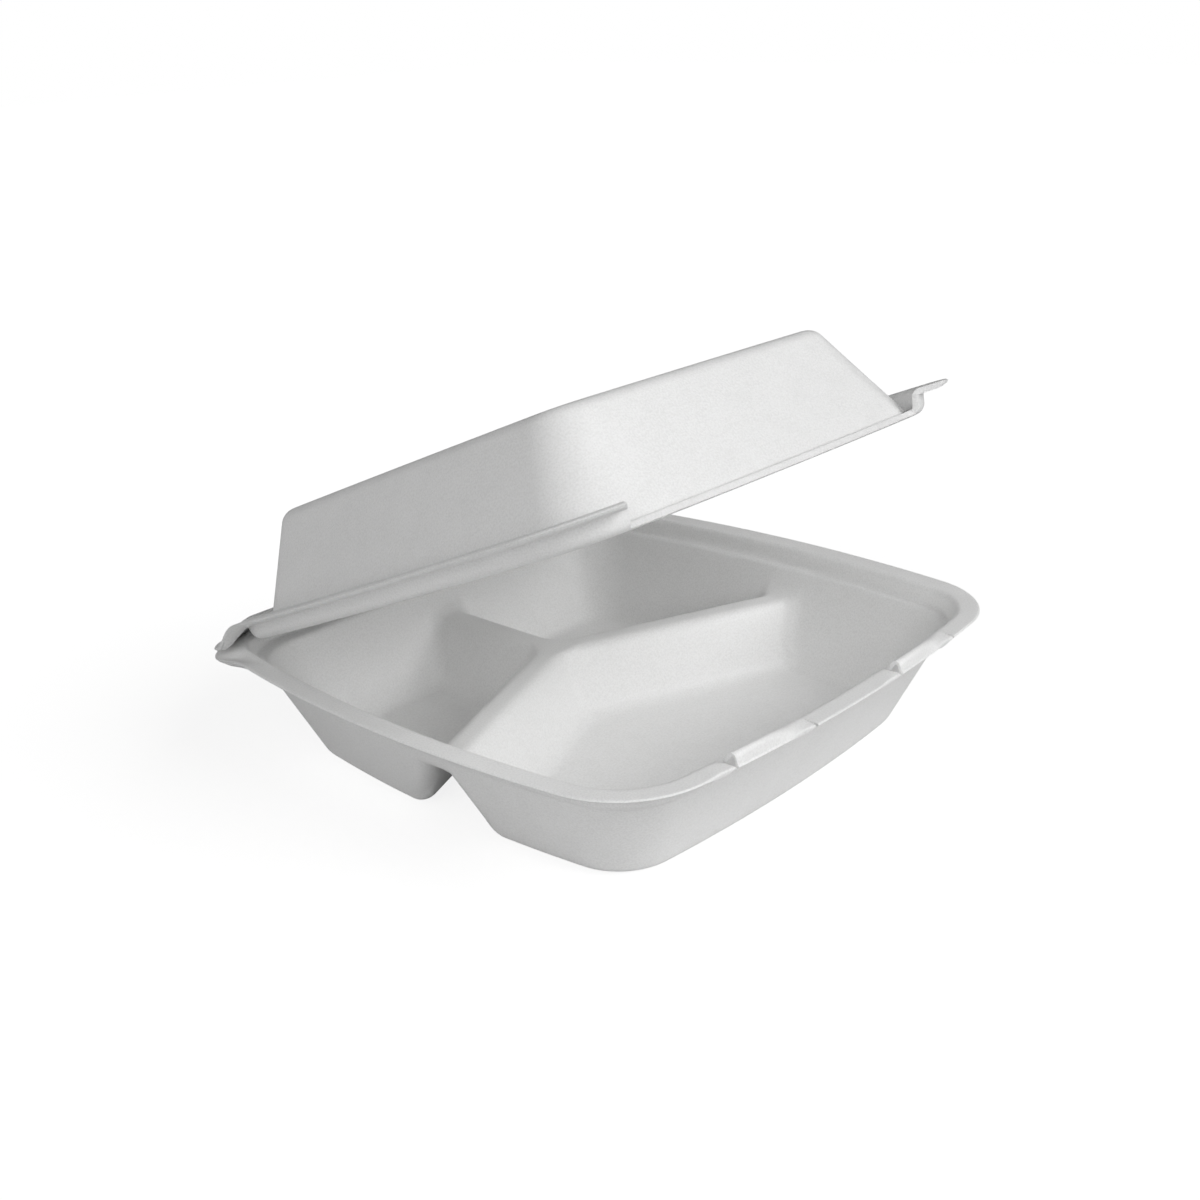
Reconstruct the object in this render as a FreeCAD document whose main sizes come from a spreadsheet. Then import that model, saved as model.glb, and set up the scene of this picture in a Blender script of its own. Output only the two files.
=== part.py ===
import FreeCAD, Part
import math
import os
import re
import Sketcher

# Foam clamshell container: a tray with three compartments and a hinged lid, each pressed from one foam sheet.
# X runs along the hinge, -Y is the front with the latch tongues, Z is up from the face that the tray stands on.
os.makedirs("parts", exist_ok=True)
doc = FreeCAD.newDocument("clamshell")

# Driving sizes in millimetres and degrees
SIZES = {
    "sheet": 2.2,
    # plan of the rim, measured over the middle of its bowed sides
    "outer_width": 235,
    "outer_depth": 225,
    "side_radius": 530,
    "front_radius": 700,
    "lip_corner": 36,
    "hinge_corner": 14,
    # rim of both halves: flat lip, narrower along the hinge, step inside it and the ledge at the step's foot
    "rim_height": 46,
    "lip_width": 9,
    "hinge_lip_width": 5,
    "step_drop": 7,
    "step_lean": 1.5,
    "ledge_width": 3.5,
    # tray walls and floor
    "wall_draft": 25,
    "wall_corner": 25,
    "floor_corner": 21,
    "wall_back_corner": 24,
    "floor_back_corner": 16,
    "floor_round": 7,
    # divider between the compartments
    "divider_height": 28,
    "crest_width": 11,
    "crest_round": 5,
    "valley_round": 9,
    "divider_draft": 23,
    "junction_back": 31,
    "arm_angle": 22,
    # latch tongues on the front rim
    "tongue_length": 38,
    "tongue_spacing": 90,
    "tongue_rise": 6,
    "tongue_crest": 2,
    "tongue_lean": 1,
    "tongue_corner": 6,
    "slit_width": 1.2,
    # lid: height of the roof over the rim, insets from the rim's edge, and the gap in its front flange
    "lid_rise": 35.6,
    "lid_foot_inset": 16,
    "roof_side_inset": 43,
    "roof_front_inset": 35,
    "roof_back_inset": 18.5,
    "roof_radius": 1500,
    "roof_corner": 16,
    "lid_foot_corner": 23,
    "roof_round": 7,
    "front_rim_inset": 12.5,
    "flange_opening": 160,
    # fits
    "hinge_gap": 0.3,
    "nest_gap": 0.4,
    "lid_opening": 23,
}
sheet = doc.addObject("Spreadsheet::Sheet", "Sizes")
for row, (alias, value) in enumerate(SIZES.items(), start=1):
    sheet.set("A%d" % row, alias)
    sheet.set("B%d" % row, str(value))
    sheet.setAlias("B%d" % row, alias)
doc.recompute()


def sized(formula):
    """A formula of size names with each name pointed at the spreadsheet."""
    return re.sub(r"[a-z_]+", lambda word: "Sizes." + word[0] if word[0] in SIZES else word[0], formula)


def number(formula):
    return float(sheet.evalExpression(sized(formula)))


def bind(thing, prop, formula):
    thing.setExpression(prop, sized(formula))


def outline(name, level, sides, front, back, corner, back_corner, side_curve=None, front_curve=None):
    """A closed plan outline: bowed sides and front, straight back, all four corners rounded.

    Each argument is a formula: the level, the insets from the rim's edge at the sides, the front and the
    back, and the radii. The bowed sides keep the rim's centres unless they are given curves of their own.
    """
    side_curve = side_curve or "side_radius - (%s)" % sides
    front_curve = front_curve or "front_radius - (%s)" % front
    reach = "outer_width/2 - (%s)" % sides
    front_edge = "(%s) - outer_depth/2" % front
    back_edge = "outer_depth/2 - (%s)" % back
    half, near, far = number(reach), number(front_edge), number(back_edge)
    rs, rf, rc, rb = number(side_curve), number(front_curve), number(corner), number(back_corner)
    side_centre = (rs - half, 0.0)
    front_centre = (0.0, near + rf)
    # centre of the front left corner: rs - rc from the side's centre and rf - rc from the front's
    span = math.dist(side_centre, front_centre)
    along = ((rs - rc) ** 2 - (rf - rc) ** 2 + span ** 2) / (2 * span)
    off = math.sqrt((rs - rc) ** 2 - along ** 2)
    ux = (front_centre[0] - side_centre[0]) / span
    uy = (front_centre[1] - side_centre[1]) / span
    corner_centre = min((side_centre[0] + along * ux - off * uy, side_centre[1] + along * uy + off * ux),
                        (side_centre[0] + along * ux + off * uy, side_centre[1] + along * uy - off * ux))
    back_centre = (side_centre[0] - math.sqrt((rs - rb) ** 2 - (far - rb) ** 2), far - rb)
    sweep_back = math.atan2(back_centre[1], back_centre[0] - side_centre[0])
    sweep_side = math.atan2(corner_centre[1], corner_centre[0] - side_centre[0]) + 2 * math.pi
    sweep_front = math.atan2(corner_centre[1] - front_centre[1], corner_centre[0]) + 2 * math.pi

    def arc(centre, radius, start, end):
        circle = Part.Circle(FreeCAD.Vector(centre[0], centre[1], 0), FreeCAD.Vector(0, 0, 1), radius)
        return Part.ArcOfCircle(circle, start, end)

    turn = 3 * math.pi
    mirror = lambda point: (-point[0], point[1])
    edge_x = back_centre[0]
    sketch = doc.addObject("Sketcher::SketchObject", name)
    sketch.addGeometry([
        arc(side_centre, rs, sweep_back, sweep_side),
        arc(corner_centre, rc, sweep_side, sweep_front),
        arc(front_centre, rf, sweep_front, turn - sweep_front),
        arc(mirror(corner_centre), rc, turn - sweep_front, turn - sweep_side),
        arc(mirror(side_centre), rs, math.pi - sweep_side, math.pi - sweep_back),
        arc(mirror(back_centre), rb, math.pi - sweep_back, math.pi / 2),
        Part.LineSegment(FreeCAD.Vector(-edge_x, far, 0), FreeCAD.Vector(edge_x, far, 0)),
        arc(back_centre, rb, math.pi / 2, sweep_back),
    ], False)
    count = sketch.GeometryCount
    for index in range(count):
        sketch.addConstraint(Sketcher.Constraint("Tangent", index, 2, (index + 1) % count, 1))
    for index in (0, 4):
        sketch.addConstraint(Sketcher.Constraint("PointOnObject", index, 3, -1))
    sketch.addConstraint(Sketcher.Constraint("PointOnObject", 2, 3, -2))
    sketch.addConstraint(Sketcher.Constraint("Horizontal", 6))
    driven = [
        ("DistanceX", (-1, 1, 0, 3), "(%s) - (%s)" % (side_curve, reach)),
        ("DistanceX", (-1, 1, 4, 3), "(%s) - (%s)" % (reach, side_curve)),
        ("DistanceY", (-1, 1, 2, 3), "(%s) + (%s)" % (front_curve, front_edge)),
        ("DistanceY", (-1, 1, 6, 1), back_edge),
        ("Radius", (0,), side_curve),
        ("Radius", (4,), side_curve),
        ("Radius", (2,), front_curve),
        ("Radius", (1,), corner),
        ("Radius", (3,), corner),
        ("Radius", (5,), back_corner),
        ("Radius", (7,), back_corner),
    ]
    for kind, where, formula in driven:
        index = sketch.addConstraint(Sketcher.Constraint(kind, *where, number(formula)))
        bind(sketch, "Constraints[%d]" % index, formula)
    bind(sketch, "Placement.Base.z", level)
    return sketch


def loft(name, lower, upper):
    solid = doc.addObject("Part::Loft", name)
    solid.Sections = [lower, upper]
    solid.Solid = True
    solid.Ruled = True
    return solid


def extrusion(name, sketch, height):
    solid = doc.addObject("Part::Extrusion", name)
    solid.Base = sketch
    solid.DirMode = "Custom"
    solid.Dir = FreeCAD.Vector(0, 0, 1)
    solid.Solid = True
    bind(solid, "LengthFwd", height)
    return solid


def fused(name, *shapes):
    solid = doc.addObject("Part::MultiFuse", name)
    solid.Shapes = list(shapes)
    solid.Refine = True
    return solid


def cut(name, base, tool):
    solid = doc.addObject("Part::Cut", name)
    solid.Base = base
    solid.Tool = tool
    solid.Refine = True
    return solid


def common(name, *shapes):
    solid = doc.addObject("Part::MultiCommon", name)
    solid.Shapes = list(shapes)
    return solid


def rounded_body(name, base, rounds):
    """A body on a Part shape, with one fillet for each pair of an edge test and a radius formula."""
    body = doc.addObject("PartDesign::Body", name)
    body.BaseFeature = base
    doc.recompute()
    for index, (chosen, radius) in enumerate(rounds):
        tip = body.Tip
        edges = ["Edge%d" % n for n, edge in enumerate(tip.Shape.Edges, start=1) if chosen(edge)]
        fillet = body.newObject("PartDesign::Fillet", "%s_round_%d" % (name, index))
        fillet.Base = (tip, edges)
        bind(fillet, "Radius", radius)
        doc.recompute()
    return body


def at_level(formula):
    """Test for an edge that lies wholly at one level."""
    level = number(formula)
    return lambda edge: edge.BoundBox.ZLength < 0.001 and abs(edge.BoundBox.ZMin - level) < 0.001


def lies_on(edge, faces):
    middle = Part.Vertex(edge.valueAt((edge.FirstParameter + edge.LastParameter) / 2))
    return any(face.distToShape(middle)[0] < 0.001 for face in faces)


# Insets of the step's foot and of the ledge's inner edge from the rim's edge
FOOT = "lip_width + step_lean"
LEDGE = "lip_width + step_lean + ledge_width"
LEDGE_LEVEL = "rim_height - step_drop"


def arm(name, yaw, offset):
    """One arm of the divider: a drafted bar from the junction outwards, inside its skin by the offset."""
    crest = "(crest_width/2 - (%s)*tan(45 - divider_draft/2))" % offset
    height = "(divider_height - (%s))" % offset
    foot = "(%s + %s*tan(divider_draft))" % (crest, height)
    bar = doc.addObject("Part::Wedge", name)
    sizes = {"Xmin": "-" + foot, "Xmax": foot, "X2min": "-" + crest, "X2max": crest, "Ymin": "0", "Ymax": height,
             "Zmin": "0", "Z2min": "0", "Zmax": "outer_width", "Z2max": "outer_width"}
    for prop, formula in sizes.items():
        bind(bar, prop, formula)
    bind(bar, "Placement", "placement(vector(0; junction_back; 0); rotation(%s; 0; 90))" % yaw)
    return bar


def divider(name, offset):
    """The Y-shaped ridge between the compartments, with soft valleys at the junction and a rounded crest."""
    bars = [arm(name + "_stem", "180", offset),
            arm(name + "_left", "arm_angle - 90", offset),
            arm(name + "_right", "90 - arm_angle", offset)]
    ridge = fused(name + "_bars", *bars)
    near_junction = number("outer_width/4")
    centre = FreeCAD.Vector(0, number("junction_back"), 0)

    def valley(edge):
        slanted = edge.BoundBox.ZLength > number("divider_height/2")
        return slanted and all(vertex.Point.distanceToPoint(centre) < near_junction for vertex in edge.Vertexes)

    return rounded_body(name, ridge, [
        (valley, "valley_round + (%s)" % offset),
        (at_level("divider_height - (%s)" % offset), "crest_round - (%s)" % offset),
    ])


def wells(name, offset):
    """The three drafted wells of the tray, grown outwards and downwards by the offset."""
    top = "%s - (%s)*tan(45 - wall_draft/2)" % (LEDGE, offset)
    run = "(rim_height - step_drop - sheet)*tan(wall_draft)"
    low = "%s + %s" % (top, run)
    floor = "sheet - (%s)" % offset
    upper = outline(name + "_top", "%s - (%s)" % (LEDGE_LEVEL, offset), top, top, top,
                    "wall_corner + (%s)" % offset, "wall_back_corner + (%s)" % offset)
    lower = outline(name + "_low", floor, low, low, low,
                    "floor_corner + (%s)" % offset, "floor_back_corner + (%s)" % offset)
    tub = loft(name + "_tub", lower, upper)
    ridge = divider(name + "_divider", offset)
    parted = cut(name + "_parted", tub, ridge)
    doc.recompute()
    walls = [face for face in tub.Shape.Faces if face.BoundBox.ZLength > 1]
    at_floor = at_level(floor)

    def foot_or_corner(edge):
        return at_floor(edge) or (lies_on(edge, ridge.Shape.Faces) and lies_on(edge, walls))

    return rounded_body(name, parted, [(foot_or_corner, "floor_round + (%s)" % offset)])


HINGE_SHIFT = " - lip_width + hinge_lip_width"


def step_loft(name, top_level, low_level, top_inset, low_inset, top_corner, back_corner):
    """The drafted step between the lip and the ledge, as a solid filled to the middle."""
    upper = outline(name + "_top", top_level, top_inset, top_inset, top_inset + HINGE_SHIFT, top_corner, back_corner)
    lower = outline(name + "_low", low_level, low_inset, low_inset, low_inset + HINGE_SHIFT,
                    top_corner + " - step_lean", back_corner + " - step_lean")
    return loft(name, lower, upper)


# Tray: outer skin, inner skin and the rim between them
lip_outline = outline("lip_outline", "rim_height - sheet", "0", "0", "hinge_gap/2", "lip_corner", "hinge_corner")
lip = extrusion("lip", lip_outline, "sheet")
STEP_CORNER = "lip_corner - lip_width"
outer_step = step_loft("outer_step", "rim_height", LEDGE_LEVEL + " - sheet", "lip_width - sheet", FOOT + " - sheet",
                       STEP_CORNER + " + sheet", STEP_CORNER + " + sheet")
inner_step = step_loft("inner_step", "rim_height", LEDGE_LEVEL, "lip_width", FOOT, STEP_CORNER, STEP_CORNER)
outer_wells = wells("outer_wells", "sheet")
inner_wells = wells("inner_wells", "0")
outer_skin = fused("outer_skin", lip, outer_step, outer_wells)
inner_skin = fused("inner_skin", inner_step, inner_wells)
tray_shell = cut("tray_shell", outer_skin, inner_skin)


def box(name, left, front, low, length, width, height):
    solid = doc.addObject("Part::Box", name)
    sizes = {"Placement.Base.x": left, "Placement.Base.y": front, "Placement.Base.z": low,
             "Length": length, "Width": width, "Height": height}
    for prop, formula in sizes.items():
        bind(solid, prop, formula)
    return solid


def tongue_section():
    """Section of a latch tongue in sheet thickness: a ramp up from the lip's edge, a crest, and the inner face.

    Sketch X is the distance in from the rim's edge and sketch Y the height over the rim.
    """
    crest = "%s + tongue_lean" % FOOT
    reach, rise, skin, drop = number(crest), number("tongue_rise"), number("sheet"), number("step_drop")
    crest_start, foot = reach - number("tongue_crest"), number(FOOT)
    points = [(0, -skin), (0, 0), (crest_start, rise), (reach, rise), (foot, -drop), (foot - skin, -drop),
              (foot - skin + 1, rise / 2), (skin / 3, -skin)]
    sketch = doc.addObject("Sketcher::SketchObject", "tongue_section")
    count = len(points)
    for index, (x, y) in enumerate(points):
        end_x, end_y = points[(index + 1) % count]
        sketch.addGeometry(Part.LineSegment(FreeCAD.Vector(x, y, 0), FreeCAD.Vector(end_x, end_y, 0)), False)
    for index in range(count):
        sketch.addConstraint(Sketcher.Constraint("Coincident", index, 2, (index + 1) % count, 1))
    sketch.addConstraint(Sketcher.Constraint("Coincident", 1, 1, -1, 1))
    sketch.addConstraint(Sketcher.Constraint("Vertical", 0))
    for level_line in (2, 4, 7):
        sketch.addConstraint(Sketcher.Constraint("Horizontal", level_line))
    sketch.addConstraint(Sketcher.Constraint("Parallel", 1, 6))
    sketch.addConstraint(Sketcher.Constraint("Parallel", 3, 5))
    driven = [
        ("DistanceY", (0, 1, 0, 2), "sheet"),
        ("DistanceX", (1, 1, 2, 2), crest),
        ("DistanceX", (2, 1, 2, 2), "tongue_crest"),
        ("DistanceY", (1, 1, 2, 1), "tongue_rise"),
        ("DistanceX", (1, 1, 3, 2), FOOT),
        ("DistanceY", (3, 2, 1, 1), "step_drop"),
        ("DistanceX", (5, 1, 3, 2), "sheet"),
        ("Distance", (6, 2, 1), "sheet"),
    ]
    for kind, where, formula in driven:
        index = sketch.addConstraint(Sketcher.Constraint(kind, *where, number(formula)))
        bind(sketch, "Constraints[%d]" % index, formula)
    sketch.Placement.Rotation = FreeCAD.Rotation(FreeCAD.Vector(1, 1, 1), 120)
    bind(sketch, "Placement.Base.y", "-outer_depth/2")
    bind(sketch, "Placement.Base.z", "rim_height")
    return sketch


def front_band(section):
    """The tongues' section swept along the bowed front of the rim, past both tongues."""
    band = doc.addObject("Part::Revolution", "tongue_band")
    band.Source = section
    band.Axis = FreeCAD.Vector(0, 0, 1)
    band.Symmetric = True
    band.Solid = True
    bind(band, "Base.y", "front_radius - outer_depth/2")
    bind(band, "Angle", "(tongue_spacing + 2*tongue_length)/front_radius*180/pi")
    return band


def tongue_window(name, side, play):
    """A block over one tongue, wider than it by the play, from the ledge up past the crest."""
    length = "(tongue_length + 2*(%s))" % play
    height = "step_drop + tongue_rise"
    block = box(name + "_block", "0", "0", "0", length, "4*lip_width", height)
    top = number(height)

    def upper_corner(edge):
        return edge.BoundBox.YLength > 1 and abs(edge.BoundBox.ZMin - top) < 0.001

    window = rounded_body(name, block, [(upper_corner, "tongue_corner")])
    bind(window, "Placement.Base.x", "%d*tongue_spacing/2 - %s/2" % (side, length))
    bind(window, "Placement.Base.y", "-outer_depth/2 - lip_width")
    bind(window, "Placement.Base.z", LEDGE_LEVEL)
    return window


band = front_band(tongue_section())
SIDES = {"left": -1, "right": 1}
tongues = [common("tongue_" + word, band, tongue_window("tongue_window_" + word, side, "0"))
           for word, side in SIDES.items()]
slots = [tongue_window("slot_" + word, side, "slit_width") for word, side in SIDES.items()]
slotted = cut("tray_slotted", tray_shell, fused("slots", *slots))
tray = fused("tray", slotted, *tongues)
tray.Label = "tray"

# Lid, closed, with the hinge's axis at level zero
LIP_LEVEL = "nest_gap/2"
STEP_LEVEL = "nest_gap/2 - step_drop"
lid_lip_outline = outline("lid_lip_outline", LIP_LEVEL, "0", "0", "hinge_gap/2", "lip_corner", "hinge_corner")
lid_lip = extrusion("lid_lip", lid_lip_outline, "sheet")
NEST_CORNER = STEP_CORNER + " - nest_gap"
lid_step_outer = step_loft("lid_step_outer", LIP_LEVEL + " + sheet", STEP_LEVEL,
                           "lip_width + nest_gap", FOOT + " + nest_gap", NEST_CORNER, NEST_CORNER)
lid_step_inner = step_loft("lid_step_inner", LIP_LEVEL + " + sheet", STEP_LEVEL + " + sheet",
                           "lip_width + nest_gap + sheet", FOOT + " + nest_gap + sheet",
                           NEST_CORNER + " - sheet", NEST_CORNER + " - sheet")


def dome(name, foot_skin, roof_skin, roof_level, round_off):
    """The lid's leaning walls and roof as a solid, inside the outer faces by the two skins."""
    foot = "lid_foot_inset + %s" % foot_skin
    lower = outline(name + "_foot", STEP_LEVEL, foot, foot, foot + HINGE_SHIFT,
                    "lid_foot_corner - %s" % foot_skin, "lid_foot_corner - %s" % foot_skin)
    upper = outline(name + "_roof", roof_level, "roof_side_inset + %s" % roof_skin,
                    "roof_front_inset + %s" % roof_skin, "roof_back_inset + %s" % roof_skin,
                    "roof_corner - %s" % roof_skin, "roof_corner - %s" % roof_skin, "roof_radius", "roof_radius")
    return rounded_body(name, loft(name + "_loft", lower, upper), [(at_level(roof_level), round_off)])


# the lid's walls lean by about 30 degrees, which sets how far their inner face is from the outer one
dome_outer = dome("dome_outer", "0", "0", "lid_rise", "roof_round")
dome_inner = dome("dome_inner", "sheet/cos(30)", "sheet*tan(30)", "lid_rise - sheet", "roof_round - sheet")
lid_rim = cut("lid_rim", fused("lid_rim_outer", lid_lip, lid_step_outer), lid_step_inner)
lid_shell = cut("lid_shell", fused("lid_outer", lid_rim, dome_outer), dome_inner)
front_block = box("front_block", "-flange_opening/2", "-outer_depth/2 - lip_width", STEP_LEVEL + " - sheet",
                  "flange_opening", "4*lip_width", "step_drop + 3*sheet")
kept_outline = outline("kept_outline", STEP_LEVEL + " - sheet", "front_rim_inset", "front_rim_inset",
                       "front_rim_inset", "lid_foot_corner", "lid_foot_corner")
kept_front = extrusion("kept_front", kept_outline, "step_drop + 3*sheet")
lid = cut("lid", lid_shell, cut("flange_gap", front_block, kept_front))
lid.Label = "lid"
# opened about the crease, which lies on the hinge's axis over the tray's back edge
bind(lid, "Placement", "placement(vector(0; outer_depth/2*(1 - cos(lid_opening));"
     " rim_height + nest_gap/2 + outer_depth/2*sin(lid_opening)); rotation(vector(1; 0; 0); -lid_opening))")
doc.recompute()

for thing in doc.Objects:
    if "Invalid" in thing.State or "Error" in thing.State:
        raise RuntimeError("%s is not built" % thing.Name)
for piece in (tray, lid):
    if piece.Shape.isNull() or not piece.Shape.isValid() or len(piece.Shape.Solids) != 1:
        raise RuntimeError("%s is not one valid solid" % piece.Label)
    piece.Shape.exportStep("parts/%s.step" % piece.Label)
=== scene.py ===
import math
import bpy
import numpy as np
from mathutils import Matrix, Vector
from mathutils.geometry import delaunay_2d_cdt


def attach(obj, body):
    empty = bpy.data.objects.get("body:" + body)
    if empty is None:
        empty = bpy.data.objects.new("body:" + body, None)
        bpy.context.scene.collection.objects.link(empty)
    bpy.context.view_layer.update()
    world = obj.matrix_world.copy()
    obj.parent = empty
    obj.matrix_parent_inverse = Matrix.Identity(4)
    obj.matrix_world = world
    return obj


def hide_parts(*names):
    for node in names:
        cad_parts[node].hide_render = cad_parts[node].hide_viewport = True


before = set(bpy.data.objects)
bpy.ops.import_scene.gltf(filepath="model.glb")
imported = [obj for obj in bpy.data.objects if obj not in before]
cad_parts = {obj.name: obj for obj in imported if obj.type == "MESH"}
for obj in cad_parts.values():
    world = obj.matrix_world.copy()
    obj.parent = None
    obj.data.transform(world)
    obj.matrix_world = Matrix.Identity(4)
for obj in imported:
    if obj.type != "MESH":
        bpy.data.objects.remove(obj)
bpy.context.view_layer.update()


# Camera
# The box is seen from above its front left corner, a little over half a metre away, with a short telephoto lens.
camera_place = Vector((-0.41072, -0.37410, 0.27264))
camera_heading = math.radians(47.28)
camera_dip = math.radians(21.38)
camera_roll = math.radians(-2.26)

looking = Vector((math.sin(camera_heading) * math.cos(camera_dip),
                  math.cos(camera_heading) * math.cos(camera_dip),
                  -math.sin(camera_dip)))
level_right = looking.cross(Vector((0, 0, 1))).normalized()
level_up = level_right.cross(looking)
right = math.cos(camera_roll) * level_right + math.sin(camera_roll) * level_up
up = math.cos(camera_roll) * level_up - math.sin(camera_roll) * level_right
camera_data = bpy.data.cameras.new("camera")
camera_data.sensor_fit = "HORIZONTAL"
camera_data.sensor_width = 36
camera_data.lens = 47.46
camera_data.clip_start = 0.01
camera = bpy.data.objects.new("camera", camera_data)
camera.matrix_world = Matrix.Translation(camera_place) @ Matrix((right, up, -looking)).transposed().to_4x4()
bpy.context.collection.objects.link(camera)
bpy.context.scene.camera = camera
bpy.context.scene.view_settings.view_transform = "Standard"


# Light, floor and background
# A white studio: a wide soft lamp in front and to the right, a weaker one on the left, and a white floor that runs
# off into a white background and still takes the box's shadow.
KEY_FROM = Vector((0.30, -0.76, 0.58))
KEY_STRENGTH = 2.0
LEFT_FROM = Vector((-0.90, -0.25, 0.40))
LEFT_STRENGTH = 1.15
EVEN_LIGHT = 0.10


def soft_lamp(name, comes_from, strength, spread):
    lamp_data = bpy.data.lights.new(name, "SUN")
    lamp_data.energy = strength
    lamp_data.angle = math.radians(spread)
    lamp = bpy.data.objects.new(name, lamp_data)
    lamp.rotation_euler = comes_from.to_track_quat("Z", "Y").to_euler()
    bpy.context.collection.objects.link(lamp)


soft_lamp("key_lamp", KEY_FROM, KEY_STRENGTH, 50)
soft_lamp("left_lamp", LEFT_FROM, LEFT_STRENGTH, 60)

world = bpy.data.worlds.new("studio")
world.use_nodes = True
bpy.context.scene.world = world
nodes, links = world.node_tree.nodes, world.node_tree.links
nodes.clear()
rays = nodes.new("ShaderNodeLightPath")
even = nodes.new("ShaderNodeBackground")
even.inputs["Strength"].default_value = EVEN_LIGHT
white = nodes.new("ShaderNodeBackground")
white.inputs["Color"].default_value = (1, 1, 1, 1)
even.inputs["Color"].default_value = (1, 1, 1, 1)
pick = nodes.new("ShaderNodeMixShader")
world_out = nodes.new("ShaderNodeOutputWorld")
links.new(rays.outputs["Is Camera Ray"], pick.inputs["Fac"])
links.new(even.outputs[0], pick.inputs[1])
links.new(white.outputs[0], pick.inputs[2])
links.new(pick.outputs[0], world_out.inputs["Surface"])

floor_paint = bpy.data.materials.new("studio_floor")
floor_paint.use_nodes = True
nodes, links = floor_paint.node_tree.nodes, floor_paint.node_tree.links
nodes.clear()
rays = nodes.new("ShaderNodeLightPath")
matt = nodes.new("ShaderNodeBsdfDiffuse")
matt.inputs["Color"].default_value = (0.65, 0.65, 0.65, 1)
seen_matt = nodes.new("ShaderNodeBsdfDiffuse")
seen_matt.inputs["Color"].default_value = (0.3, 0.3, 0.3, 1)
seen_glow = nodes.new("ShaderNodeEmission")
seen_glow.inputs["Strength"].default_value = 0.84
seen = nodes.new("ShaderNodeAddShader")
pick = nodes.new("ShaderNodeMixShader")
floor_out = nodes.new("ShaderNodeOutputMaterial")
links.new(seen_matt.outputs[0], seen.inputs[0])
links.new(seen_glow.outputs[0], seen.inputs[1])
links.new(rays.outputs["Is Camera Ray"], pick.inputs["Fac"])
links.new(matt.outputs[0], pick.inputs[1])
links.new(seen.outputs[0], pick.inputs[2])
links.new(pick.outputs[0], floor_out.inputs["Surface"])

floor_half, floor_drop = 4.0, 0.0002
floor_mesh = bpy.data.meshes.new("studio_floor")
floor_corners = [(x * floor_half, y * floor_half, 0) for x, y in ((-1, -1), (1, -1), (1, 1), (-1, 1))]
floor_mesh.from_pydata(floor_corners, [], [(0, 1, 2, 3)])
floor_mesh.materials.append(floor_paint)
floor = bpy.data.objects.new("studio_floor", floor_mesh)
floor.location.z = -floor_drop
bpy.context.collection.objects.link(floor)


# Foam
# One sheet of white polystyrene foam, about two millimetres thick. Its closed cells make a fine pale mottle, and
# its pressed skin has a pearly, satin gloss that is strongest on the bends.
foam = bpy.data.materials.new("white_foam")
foam.use_nodes = True
nodes, links = foam.node_tree.nodes, foam.node_tree.links
skin = nodes["Principled BSDF"]
skin.inputs["IOR"].default_value = 1.45
skin.inputs["Specular IOR Level"].default_value = 0.45
skin.inputs["Subsurface Weight"].default_value = 0.4
skin.inputs["Subsurface Radius"].default_value = (1, 1, 1)
skin.inputs["Subsurface Scale"].default_value = 0.002
place = nodes.new("ShaderNodeTexCoord")


def foam_noise(name, per_metre, detail):
    """A noise that sits still on the foam, with per_metre lumps to the metre."""
    noise = nodes.new("ShaderNodeTexNoise")
    noise.name = name
    noise.inputs["Scale"].default_value = per_metre
    noise.inputs["Detail"].default_value = detail
    links.new(place.outputs["Object"], noise.inputs["Vector"])
    return noise


def spread(source, low, high):
    """Stretches the middle of a noise, from 0.35 to 0.65, over the range from low to high."""
    stretch = nodes.new("ShaderNodeMapRange")
    stretch.inputs["From Min"].default_value = 0.35
    stretch.inputs["From Max"].default_value = 0.65
    stretch.inputs["To Min"].default_value = low
    stretch.inputs["To Max"].default_value = high
    links.new(source, stretch.inputs["Value"])
    return stretch.outputs["Result"]


def calculate(operation, first, second):
    """A math node in the node tree that is being built. Each value is a number or another node's output."""
    step = nodes.new("ShaderNodeMath")
    step.operation = operation
    for socket, value in zip(step.inputs, (first, second)):
        if isinstance(value, float):
            socket.default_value = value
        else:
            links.new(value, socket)
    return step.outputs[0]


cells = nodes.new("ShaderNodeTexVoronoi")
cells.feature = "SMOOTH_F1"
cells.inputs["Scale"].default_value = 950
cells.inputs["Smoothness"].default_value = 0.6
links.new(place.outputs["Object"], cells.inputs["Vector"])
grain = foam_noise("grain", 1500, 2)
clouds = foam_noise("clouds", 90, 3)

mottle = calculate("ADD", spread(grain.outputs["Fac"], 0.40, 1.0), spread(clouds.outputs["Fac"], -0.06, 0.06))
tone = nodes.new("ShaderNodeMix")
tone.data_type = "RGBA"
tone.inputs["A"].default_value = (0.82, 0.82, 0.815, 1)
tone.inputs["B"].default_value = (0.975, 0.975, 0.97, 1)
links.new(mottle, tone.inputs["Factor"])
links.new(tone.outputs["Result"], skin.inputs["Base Color"])
links.new(calculate("ADD", spread(grain.outputs["Fac"], -0.05, 0.05), spread(clouds.outputs["Fac"], 0.36, 0.44)),
          skin.inputs["Roughness"])
relief = calculate("ADD", calculate("MULTIPLY", cells.outputs["Distance"], 0.6), grain.outputs["Fac"])
bump = nodes.new("ShaderNodeBump")
bump.inputs["Strength"].default_value = 0.35
bump.inputs["Distance"].default_value = 0.00012
links.new(relief, bump.inputs["Height"])
links.new(bump.outputs["Normal"], skin.inputs["Normal"])


# Tray
# The lower half of the pressing: a lip, a step down to a narrow ledge, leaning walls and a flat floor, parted into
# three wells by a hollow ridge. The sheet is squeezed thinner along its cut edge.

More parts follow.
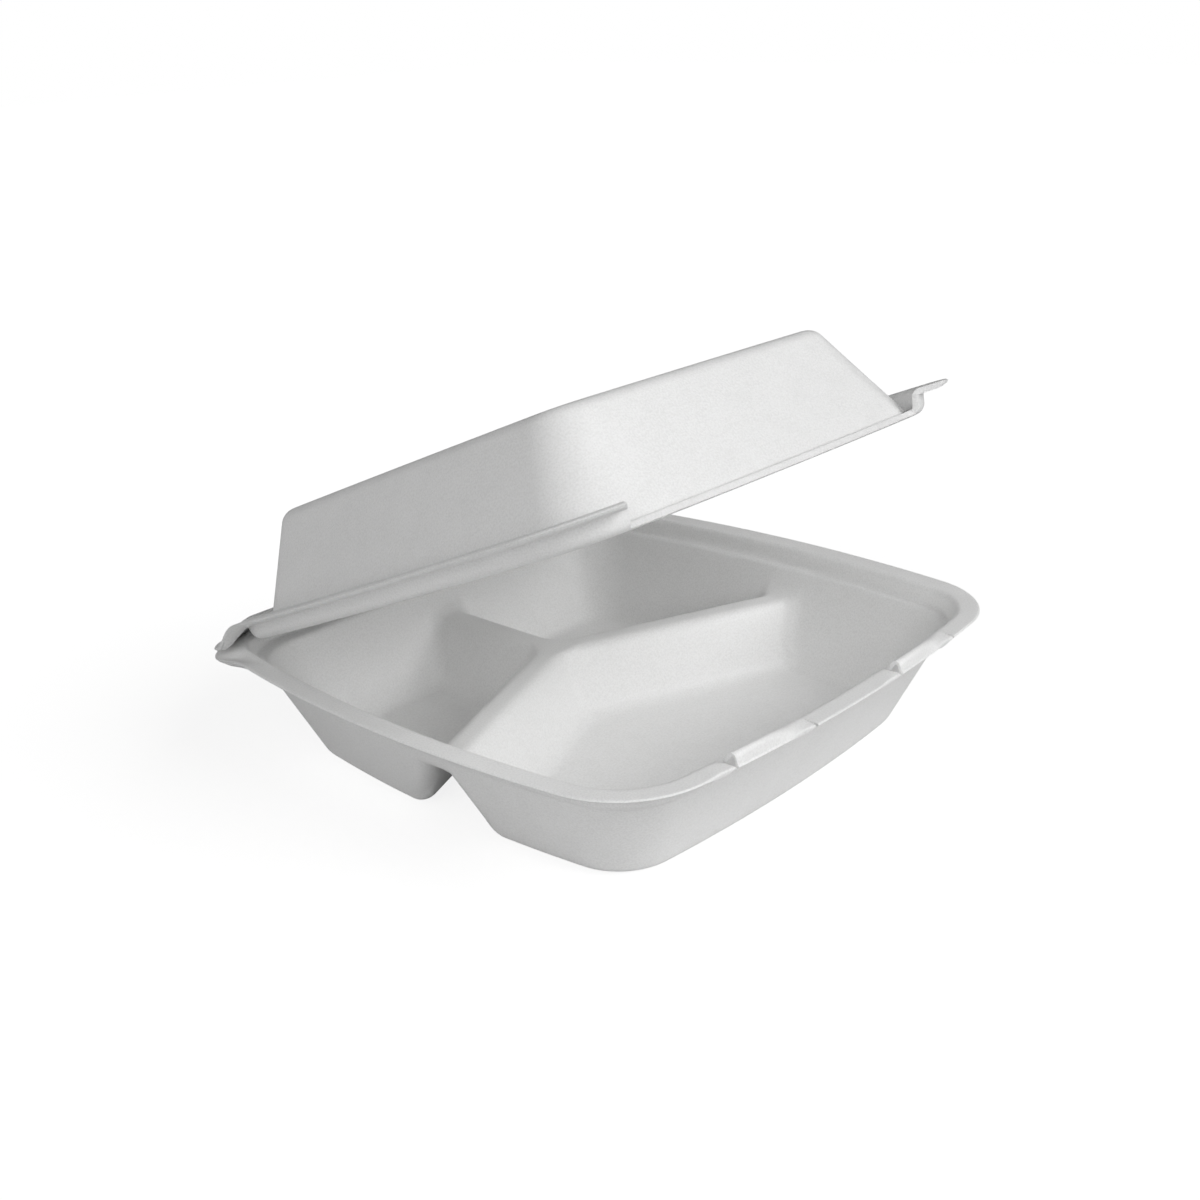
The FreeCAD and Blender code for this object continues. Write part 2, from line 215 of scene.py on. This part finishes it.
# Sizes of the tray and the lid are in millimetres, and sheet_mesh turns them into metres.
SHEET = 2.2
EDGE, SQUEEZED_STRIP = 1.1, 3.5
WIDTH, DEPTH = 235.0, 225.0
SIDE_RADIUS, FRONT_RADIUS = 530.0, 700.0
RIM, LEDGE = 46.0, 39.0
LIP, HINGE_LIP, HALF_GAP = 9.0, 5.0, 0.15
STEP_LEAN = 1.5
WALL_IN, WALL_DRAFT = 14.0, math.radians(25)
FOOT_SHARE = 0.86
JUNCTION = np.array([0.0, 31.0])
CREST, CREST_HALF, CREST_ROUND = 28.0, 5.5, 5.0
RIDGE_DRAFT = math.radians(23)
ARM_ANGLE = math.radians(22)
RIDGE_HEADINGS = (math.pi / 2, math.pi + ARM_ANGLE, -ARM_ANGLE)
ARM_BLEND, VALLEY = 5.0, 4.8
HINGE_FALL, FALL_SPAN, FALL_REACH = 5.0, (84, 97), (80, 106)
TONGUE_START, TONGUE_END, SLIT = 26.0, 64.0, 1.2
TONGUE_IN, TONGUE_HEIGHT, TONGUE_SHEET = 1.3, 7.4, 1.5
SHOULDER, SHOULDER_LENGTH = 0.82, 6.0
LOW_END, RAMP = 0.15, (14, 38)
POUCH, POUCH_LENGTH, POUCH_SKEW, POUCH_LEAN = 1.7, 13.0, 1.5, 0.75


def rim_loop(level, inset, corner, back_corner, stations, counts, side_radius=None, front_radius=None):
    """A closed line round the box at one level, anticlockwise from the middle of the front.

    inset is how far in it lies at the sides, front and back, and corner and back_corner are the radii of its
    front and back corners. stations are the places along the front, out from the middle, where points must fall,
    and counts the points on the rest of the front, the front corner, the side, the back corner and the back.
    """
    side_in, front_in, back_in = inset
    side_bow = side_radius or SIDE_RADIUS - side_in
    front_bow = front_radius or FRONT_RADIUS - front_in
    side_x = WIDTH / 2 - side_in - side_bow
    front_y = front_in - DEPTH / 2 + front_bow
    back_y = DEPTH / 2 - back_in
    apart = math.hypot(side_x, front_y)
    reach_front, reach_side = front_bow - corner, side_bow - corner
    along = (reach_front ** 2 - reach_side ** 2 + apart ** 2) / (2 * apart)
    across = math.sqrt(reach_front ** 2 - along ** 2)
    ux, uy = side_x / apart, -front_y / apart
    corner_x, corner_y = along * ux - across * uy, front_y + along * uy + across * ux
    front_tangent = math.atan2(corner_y - front_y, corner_x)
    side_low = math.atan2(corner_y, corner_x - side_x)
    back_corner_y = back_y - back_corner
    back_corner_x = side_x + math.sqrt((side_bow - back_corner) ** 2 - back_corner_y ** 2)
    side_high = math.atan2(back_corner_y, back_corner_x - side_x)
    tangent_x = front_bow * math.cos(front_tangent)

    def arc(x, y, radius, start, end, count):
        turn = np.linspace(start, end, count + 1)[1:]
        return np.stack([x + radius * np.cos(turn), y + radius * np.sin(turn)], 1)

    if stations[-1] < tangent_x:
        front_x = np.concatenate([stations, np.linspace(stations[-1], tangent_x, counts[0] + 1)[1:]])
        corner_start, corner_count = front_tangent, counts[1]
    else:
        front_x = stations
        corner_start, corner_count = -math.acos((stations[-1] - corner_x) / corner), counts[0] + counts[1]
    on_bow = front_y - np.sqrt(front_bow ** 2 - front_x ** 2)
    on_corner = corner_y - np.sqrt(np.maximum(corner ** 2 - (front_x - corner_x) ** 2, 0))
    front = np.stack([front_x, np.where(front_x > tangent_x, on_corner, on_bow)], 1)
    back_x = np.linspace(back_corner_x, 0, counts[4] + 1)[1:]
    right_half = np.concatenate([
        front,
        arc(corner_x, corner_y, corner, corner_start, side_low, corner_count),
        arc(side_x, 0, side_bow, side_low, side_high, counts[2]),
        arc(back_corner_x, back_corner_y, back_corner, side_high, math.pi / 2, counts[3]),
        np.stack([back_x, np.full(len(back_x), back_y)], 1)])
    left_half = right_half[-2:0:-1] * (-1, 1)
    loop = np.concatenate([right_half, left_half])
    return np.column_stack([loop, np.full(len(loop), level)])


def pressed_rings(corners, radii, arcs, runs):
    """Rings of points that follow each column of corner points inwards, with every bend rounded to its radius.

    radii and arcs give the radius and the number of points at each corner line, and runs the number of points on
    each straight stretch. A bend takes at most most_of_leg of the shorter stretch beside it.
    """
    most_of_leg = 0.49 * 1.3

    def unit(v):
        return v / np.maximum(np.linalg.norm(v, axis=1, keepdims=True), 1e-9)

    rings = [corners[0]]
    for k in range(1, len(corners)):
        if k == len(corners) - 1:
            start, bend = corners[k], []
        else:
            here = corners[k]
            back, on = unit(corners[k - 1] - here), unit(corners[k + 1] - here)
            half_angle = np.arccos(np.clip((back * on).sum(1), -0.9999, 0.9999)) / 2
            shorter = np.minimum(np.linalg.norm(corners[k - 1] - here, axis=1),
                                 np.linalg.norm(corners[k + 1] - here, axis=1))
            tangent = np.minimum(radii[k] / np.tan(half_angle), most_of_leg * shorter)
            radius = tangent * np.tan(half_angle)
            centre = here + unit(back + on) * (radius / np.sin(half_angle))[:, None]
            start, end = here + back * tangent[:, None], here + on * tangent[:, None]
            turn = math.pi - 2 * half_angle
            bend = []
            for part in np.linspace(0, 1, arcs[k] + 1)[1:]:
                a = np.sin((1 - part) * turn) / np.sin(turn)
                b = np.sin(part * turn) / np.sin(turn)
                bend.append(centre + a[:, None] * (start - centre) + b[:, None] * (end - centre))
        before = rings[-1]
        for part in np.linspace(0, 1, runs[k - 1] + 1)[1:]:
            rings.append(before + part * (start - before))
        rings.extend(bend)
    return np.stack(rings)


def off_crest(place, heading):
    """How far points of the plan lie out from the edge of one arm's level crest, below zero on the crest."""
    along = place @ np.array([math.cos(heading), math.sin(heading)])
    across = np.abs(place @ np.array([-math.sin(heading), math.cos(heading)]))
    return np.where(along > 0, across, np.hypot(along, across)) - CREST_HALF


def ridge_height(x, y):
    """Height of the ridge's skin over a point of the plan, falling on below the floor, and how level it is there."""
    place = np.stack([x, y], -1) - JUNCTION
    arms = [off_crest(place, heading) for heading in RIDGE_HEADINGS]
    depth = sum(np.maximum(ARM_BLEND - arm, 0) ** 2 for arm in arms)
    nearest = np.minimum.reduce(arms)
    away = np.where(nearest < ARM_BLEND, ARM_BLEND - np.sqrt(depth), nearest)
    lean = math.pi / 2 - RIDGE_DRAFT
    flat_end = -CREST_ROUND * math.tan(lean / 2)
    bend_end = flat_end + CREST_ROUND * math.sin(lean)
    over = np.clip(away - flat_end, 0, CREST_ROUND * math.sin(lean))
    drop = CREST_ROUND - np.sqrt(CREST_ROUND ** 2 - over ** 2) + np.maximum(away - bend_end, 0) * math.tan(lean)
    level = np.where(away > bend_end, math.cos(lean), np.sqrt(CREST_ROUND ** 2 - over ** 2) / CREST_ROUND)
    return CREST - drop, level


def laid_over(first, first_level, second, second_level, radius):
    """The height of two skins where they run into each other, with a soft valley between them."""
    low = np.maximum(first, second)
    high = low + radius / np.minimum(first_level, second_level)
    for _ in range(40):
        middle = (low + high) / 2
        a = np.maximum(1 - (middle - first) * first_level / radius, 0)
        b = np.maximum(1 - (middle - second) * second_level / radius, 0)
        under = a * a + b * b > 1
        low, high = np.where(under, middle, low), np.where(under, high, middle)
    return low


def plan_points(loop, spacing):
    """Points inside a closed convex line, on a grid of triangles, clear of the line by most of a spacing."""
    row_share, border_share = 0.866, 0.75
    lowest, highest = loop.min(0), loop.max(0)
    rows = np.arange(lowest[1], highest[1], spacing * row_share)
    points = []
    for count, y in enumerate(rows):
        x = np.arange(lowest[0] + (count % 2) * spacing / 2, highest[0], spacing)
        points.append(np.stack([x, np.full(len(x), y)], 1))
    points = np.concatenate(points)
    inside = np.full(len(points), 1e9)
    for a, b in zip(loop, np.roll(loop, -1, 0)):
        side = b - a
        inside = np.minimum(inside, (side[0] * (points[:, 1] - a[1]) - side[1] * (points[:, 0] - a[0]))
                            / np.hypot(*side))
    return points[inside > border_share * spacing]


def sheet_mesh(name, rings, missing, middle, thickness, material):
    """One pressed sheet: rings of points and the plan points of its middle, thickened downwards, in metres.

    missing holds the (ring, column) cells where the sheet is cut away. thickness is in millimetres at each point.
    """
    ring_count, column_count = rings.shape[:2]
    first_middle = ring_count * column_count
    faces = []
    for i in range(ring_count - 1):
        for j in range(column_count):
            if (i, j) not in missing:
                k = (j + 1) % column_count
                faces.append((i * column_count + j, i * column_count + k,
                              (i + 1) * column_count + k, (i + 1) * column_count + j))
    plan = [Vector(point) for point in np.concatenate([rings[-1][:, :2], middle[:, :2]])]
    border = [(j, (j + 1) % column_count) for j in range(column_count)]
    _, _, triangles, origins, _, _ = delaunay_2d_cdt(plan, border, [], 1, 1e-4)
    for triangle in triangles:
        faces.append(tuple(first_middle - column_count + origins[v][0] for v in triangle))
    used = np.unique(np.concatenate([np.array(face) for face in faces]))
    number = {old: new for new, old in enumerate(used.tolist())}
    points = np.concatenate([rings.reshape(-1, 3), middle])[used]
    skin_mesh = bpy.data.meshes.new(name + "_skin")
    skin_mesh.from_pydata((points / 1000).tolist(), [], [tuple(number[v] for v in face) for face in faces])
    skin_piece = bpy.data.objects.new(name + "_skin", skin_mesh)
    bpy.context.collection.objects.link(skin_piece)
    thickness = thickness[used]
    thickest = float(thickness.max())
    group = skin_piece.vertex_groups.new(name="thickness")
    for index, value in enumerate(thickness.tolist()):
        group.add([index], value / thickest, "REPLACE")
    thicken = skin_piece.modifiers.new("sheet", "SOLIDIFY")
    thicken.thickness = thickest / 1000
    thicken.offset = -1
    thicken.vertex_group = "thickness"
    done = skin_piece.evaluated_get(bpy.context.evaluated_depsgraph_get())
    mesh = bpy.data.meshes.new_from_object(done)
    mesh.name = name
    mesh.materials.clear()
    mesh.materials.append(material)
    mesh.shade_smooth()
    mesh.set_sharp_from_angle(angle=math.radians(50))
    bpy.data.objects.remove(skin_piece)
    piece = bpy.data.objects.new(name, mesh)
    bpy.context.collection.objects.link(piece)
    return piece


def soft_step(value, start, end):
    """Rises softly from 0 at start to 1 at end."""
    part = np.clip((value - start) / (end - start), 0, 1)
    return part * part * (3 - 2 * part)


def corner_fall(rings, step_line):
    """How far the lip falls towards the two ends of the hinge, where the crease pulls it down."""
    edge = rings[0]
    fall = HINGE_FALL * soft_step(edge[:, 1], *FALL_REACH) * soft_step(np.abs(edge[:, 0]), *FALL_SPAN)
    reach = np.linalg.norm(step_line[:, :2] - edge[:, :2], axis=1)
    inwards = np.linalg.norm(rings[..., :2] - edge[None, :, :2], axis=2)
    return fall * (1 - soft_step(inwards / reach, 0, 1))


def squeezed_thickness(rings):
    """Thickness of the sheet at each point: EDGE at the cut edge, and all of SHEET past the squeezed strip."""
    inwards = np.linalg.norm(rings[..., :2] - rings[0][None, :, :2], axis=2)
    return EDGE + (SHEET - EDGE) * soft_step(inwards, 0, SQUEEZED_STRIP)


stations = np.concatenate([np.linspace(0, TONGUE_START - SLIT, 15), np.linspace(TONGUE_START, TONGUE_END, 27),
                           [TONGUE_END + SLIT, TONGUE_END + 2.5 * SLIT]])
foot_stations = stations * FOOT_SHARE
counts = (12, 40, 100, 26, 68)
foot_in = WALL_IN + (LEDGE - SHEET) * math.tan(WALL_DRAFT)
lip_edge = rim_loop(RIM - 0.5, (0, 0, HALF_GAP), 36, 14, stations, counts)
lip_top = rim_loop(RIM, (0.5, 0.5, HALF_GAP + 0.5), 35.6, 13.5, stations, counts)
step_top = rim_loop(RIM, (LIP, LIP, HINGE_LIP), 27, 27, stations, counts)
step_foot = rim_loop(LEDGE, (LIP + STEP_LEAN, LIP + STEP_LEAN, HINGE_LIP + STEP_LEAN), 25.5, 25.5, stations, counts)
wall_top = rim_loop(LEDGE, (WALL_IN,) * 3, 25, 24, stations, counts)
wall_foot = rim_loop(SHEET, (foot_in,) * 3, 21, 16, foot_stations, counts)
well_floor = rim_loop(SHEET, (foot_in + 5.0,) * 3, 16, 11, foot_stations, counts)
column_x = lip_edge[:, 0]
in_front = lip_edge[:, 1] < 0

# Pouches: left of each slit the lip's edge hangs down in a small bulge.
for slit in (-TONGUE_END - SLIT, -TONGUE_START, TONGUE_START - SLIT, TONGUE_END):
    along = np.clip((column_x - slit + POUCH_LENGTH) / POUCH_LENGTH, 0, 1)
    pouch = np.where(in_front, POUCH * np.sin(math.pi * along ** POUCH_SKEW), 0)
    lip_edge[:, 2] -= pouch
    lip_edge[:, 1] += POUCH_LEAN * pouch

# Latch tongues: the lip between two slits is pressed up, highest near its left end, and ramps down to the right.
beside_ends = np.minimum(np.abs(column_x) - TONGUE_START, TONGUE_END - np.abs(column_x))
on_tongue = in_front & (beside_ends > -0.01)
from_left = column_x[on_tongue] - np.where(column_x[on_tongue] < 0, -TONGUE_END, TONGUE_START)
shoulder = SHOULDER + (1 - SHOULDER) * np.sqrt(1 - (1 - np.clip(from_left / SHOULDER_LENGTH, 0, 1)) ** 2)
raised = shoulder * (1 - (1 - LOW_END) * soft_step(from_left, *RAMP))
top_in = TONGUE_IN + (LIP - TONGUE_IN) * (1 - raised)
bow_y = FRONT_RADIUS - DEPTH / 2
step_top[on_tongue, 1] = bow_y - np.sqrt((FRONT_RADIUS - top_in) ** 2 - column_x[on_tongue] ** 2)
step_top[on_tongue, 2] = RIM + TONGUE_HEIGHT * raised

bend_points, run_points = [0, 3, 6, 5, 5, 8, 0], [1, 6, 3, 2, 18, 1]
rings = pressed_rings([lip_edge, lip_top, step_top, step_foot, wall_top, wall_foot, well_floor],
                      [0, 0.6, 2.9, 1.9, 2.6, 7, 0], bend_points, run_points)
rings[..., 2] -= corner_fall(rings, step_top)

# Slits: they run from the lip's edge to the foot of the step.
slit_end = sum(bend_points[:4]) + sum(run_points[:3])
cell_x = np.abs(column_x + np.roll(column_x, -1)) / 2
in_slit = ((cell_x > TONGUE_START - SLIT) & (cell_x < TONGUE_START)
           | (cell_x > TONGUE_END) & (cell_x < TONGUE_END + SLIT)) & in_front
missing = {(i, j) for j in np.flatnonzero(in_slit).tolist() for i in range(slit_end)}

# Ridge: it is laid over the walls and the floor of the wells.
slope = np.gradient(rings, axis=0)
level = np.hypot(slope[..., 0], slope[..., 1]) / np.maximum(np.linalg.norm(slope, axis=2), 1e-9)
ridge, ridge_level = ridge_height(rings[..., 0], rings[..., 1])
walls = rings[..., 2]
joined = laid_over(walls, np.maximum(level, 0.3), ridge, ridge_level, VALLEY)
in_wells = np.arange(len(rings))[:, None] > slit_end
rings[..., 2] = np.where(in_wells, joined, walls)
plan = plan_points(rings[-1][:, :2], 1.4)
ridge, ridge_level = ridge_height(plan[:, 0], plan[:, 1])
floor_level = np.full(len(plan), SHEET)
middle = np.column_stack([plan, laid_over(floor_level, np.ones(len(plan)), ridge, ridge_level, VALLEY)])

thick = squeezed_thickness(rings)
tongue_rings = (np.arange(len(rings))[:, None] < slit_end) & on_tongue[None, :]
thick = np.where(tongue_rings, np.minimum(thick, TONGUE_SHEET), thick)
thickness = np.concatenate([thick.ravel(), np.full(len(middle), SHEET)])
tray = sheet_mesh("tray_sheet", rings, missing, middle, thickness, foam)
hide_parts("tray")
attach(tray, "tray")


# Lid
# The upper half of the same pressing: a lip that meets the tray's, a step that nests in the tray's step, and tall
# leaning walls up to a flat roof. The lip is cut away along the middle of the front, where the tongues come through.
LID_OPENING = math.radians(23)
HINGE_Y, HINGE_Z = DEPTH / 2, RIM + 0.2
ROOF, DOME_FOOT = 35.57, -6.8
CUT_COLUMNS, CUT_BEND_POINTS = 40, 3
PULL, PULL_SPAN, PULL_REACH = 0.5, (88, 103), (84, 100)
ROOF_BOW = 1500
counts = (12, 40, 90, 30, 68)


def lid_stations(cut_half):
    """Stations along the front, out to where the lip's cut-away stretch ends."""
    return np.linspace(0, cut_half, CUT_COLUMNS + 1)


# The lid is shaped closed, with its levels counted from the hinge's axis.
lip_edge = rim_loop(1.5, (0, 0, HALF_GAP), 36, 14, lid_stations(88), counts)
lip_top = rim_loop(2.1, (0.6, 0.6, HALF_GAP + 0.6), 35.4, 13.4, lid_stations(87.5), counts)
step_top = rim_loop(2.4, (11.6, 11.6, 7.6), 24.4, 24.4, lid_stations(80), counts)
step_foot = rim_loop(-4.6, (13.1, 13.1, 9.1), 22.9, 22.9, lid_stations(79.5), counts)
dome_foot = rim_loop(DOME_FOOT, (16, 16, 12), 23, 23, lid_stations(76.5), counts)
roof_edge = rim_loop(ROOF, (43, 35, 18.5), 16, 16, lid_stations(55.5), counts, ROOF_BOW, ROOF_BOW)
roof_top = rim_loop(ROOF, (50, 42, 25.5), 9, 9, lid_stations(55.5), counts, ROOF_BOW, ROOF_BOW)
dome_foot = dome_foot + (roof_edge - dome_foot) * (SHEET / (ROOF - DOME_FOOT))
bend_points, run_points = [0, 3, 7, 5, 4, 9, 0], [1, 6, 3, 1, 22, 1]
rings = pressed_rings([lip_edge, lip_top, step_top, step_foot, dome_foot, roof_edge, roof_top],
                      [0, 0.8, 3.4, 1.9, 1.3, 7, 0], bend_points, run_points)
cut_ring = sum(bend_points[:3]) + sum(run_points[:3]) + CUT_BEND_POINTS
cut_columns = [*range(CUT_COLUMNS), *range(len(lip_edge) - CUT_COLUMNS, len(lip_edge))]
missing = {(i, j) for j in cut_columns for i in range(cut_ring)}
plan = plan_points(rings[-1][:, :2], 4)
middle = np.column_stack([plan, np.full(len(plan), ROOF)])
thickness = np.concatenate([squeezed_thickness(rings).ravel(), np.full(len(middle), SHEET)])

# At the ends of the hinge the lip falls as the tray's does, and at the corners it is pulled further down to it.
falls = corner_fall(rings, step_top)
ring_y = rings[..., 1]
pulled = PULL * soft_step(np.abs(rings[..., 0]), *PULL_SPAN) * soft_step(ring_y, *PULL_REACH)
falls += pulled * (HINGE_Y - ring_y) * math.sin(LID_OPENING) * falls / HINGE_FALL


def opened(points):
    """Points of the closed lid, levels counted from the hinge's axis, turned up to where the lid stands at rest."""
    y, z = points[..., 1] - HINGE_Y, points[..., 2]
    turned = points.copy()
    turned[..., 1] = HINGE_Y + y * math.cos(LID_OPENING) + z * math.sin(LID_OPENING)
    turned[..., 2] = HINGE_Z - y * math.sin(LID_OPENING) + z * math.cos(LID_OPENING)
    return turned


rings = opened(rings)
rings[..., 1] -= falls * math.sin(LID_OPENING / 2)
rings[..., 2] -= falls * math.cos(LID_OPENING / 2)
lid = sheet_mesh("lid_sheet", rings, missing, opened(middle), thickness, foam)
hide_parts("lid")
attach(lid, "lid")


# Hinge crease
# The line where the foam between the two halves is squeezed to a thin, flexible bead. It joins their back edges and
# dips with them at both ends.
crease_rule = bpy.data.node_groups.new("crease", "GeometryNodeTree")
crease_sizes = (("Half length", 0.094), ("Bead radius", 0.0007), ("Fall", HINGE_FALL / 1000),
                ("Fall starts", FALL_SPAN[0] / 1000), ("Fall ends", FALL_SPAN[1] / 1000))
for label, size in crease_sizes:
    socket = crease_rule.interface.new_socket(label, in_out="INPUT", socket_type="NodeSocketFloat")
    socket.default_value = size
crease_rule.interface.new_socket("Geometry", in_out="OUTPUT", socket_type="NodeSocketGeometry")
nodes, links = crease_rule.nodes, crease_rule.links
given = nodes.new("NodeGroupInput")
made = nodes.new("NodeGroupOutput")
line = nodes.new("GeometryNodeCurvePrimitiveLine")
line_start = nodes.new("ShaderNodeCombineXYZ")
line_end = nodes.new("ShaderNodeCombineXYZ")
links.new(calculate("MULTIPLY", given.outputs["Half length"], -1.0), line_start.inputs["X"])
links.new(given.outputs["Half length"], line_end.inputs["X"])
links.new(line_start.outputs[0], line.inputs["Start"])
links.new(line_end.outputs[0], line.inputs["End"])
finer = nodes.new("GeometryNodeResampleCurve")
finer.inputs["Count"].default_value = 240
links.new(line.outputs["Curve"], finer.inputs["Curve"])
here = nodes.new("GeometryNodeInputPosition")
apart = nodes.new("ShaderNodeSeparateXYZ")
links.new(here.outputs[0], apart.inputs[0])
dip = nodes.new("ShaderNodeMapRange")
dip.interpolation_type = "SMOOTHSTEP"
links.new(calculate("ABSOLUTE", apart.outputs["X"], 0.0), dip.inputs["Value"])
links.new(given.outputs["Fall starts"], dip.inputs["From Min"])
links.new(given.outputs["Fall ends"], dip.inputs["From Max"])
links.new(calculate("MULTIPLY", given.outputs["Fall"], -1.0), dip.inputs["To Max"])
down = nodes.new("ShaderNodeCombineXYZ")
links.new(dip.outputs["Result"], down.inputs["Z"])
dipped = nodes.new("GeometryNodeSetPosition")
links.new(finer.outputs["Curve"], dipped.inputs["Geometry"])
links.new(down.outputs[0], dipped.inputs["Offset"])
ring = nodes.new("GeometryNodeCurvePrimitiveCircle")
ring.inputs["Resolution"].default_value = 14
links.new(given.outputs["Bead radius"], ring.inputs["Radius"])
swept = nodes.new("GeometryNodeCurveToMesh")
swept.inputs["Fill Caps"].default_value = True
links.new(dipped.outputs["Geometry"], swept.inputs["Curve"])
links.new(ring.outputs["Curve"], swept.inputs["Profile Curve"])
smooth = nodes.new("GeometryNodeSetShadeSmooth")
links.new(swept.outputs["Mesh"], smooth.inputs["Geometry"])
painted = nodes.new("GeometryNodeSetMaterial")
painted.inputs["Material"].default_value = foam
links.new(smooth.outputs["Geometry"], painted.inputs["Geometry"])
links.new(painted.outputs["Geometry"], made.inputs["Geometry"])

seed_mesh = bpy.data.meshes.new("crease_seed")
seed_piece = bpy.data.objects.new("crease_seed", seed_mesh)
bpy.context.collection.objects.link(seed_piece)
rule = seed_piece.modifiers.new("crease", "NODES")
rule.node_group = crease_rule
done = seed_piece.evaluated_get(bpy.context.evaluated_depsgraph_get())
crease_mesh = bpy.data.meshes.new_from_object(done)
crease_mesh.name = "hinge_crease"
bpy.data.objects.remove(seed_piece)
crease_mesh.transform(Matrix.Translation((0, HINGE_Y / 1000, HINGE_Z / 1000)))
crease = bpy.data.objects.new("hinge_crease", crease_mesh)
bpy.context.collection.objects.link(crease)
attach(crease, "tray")
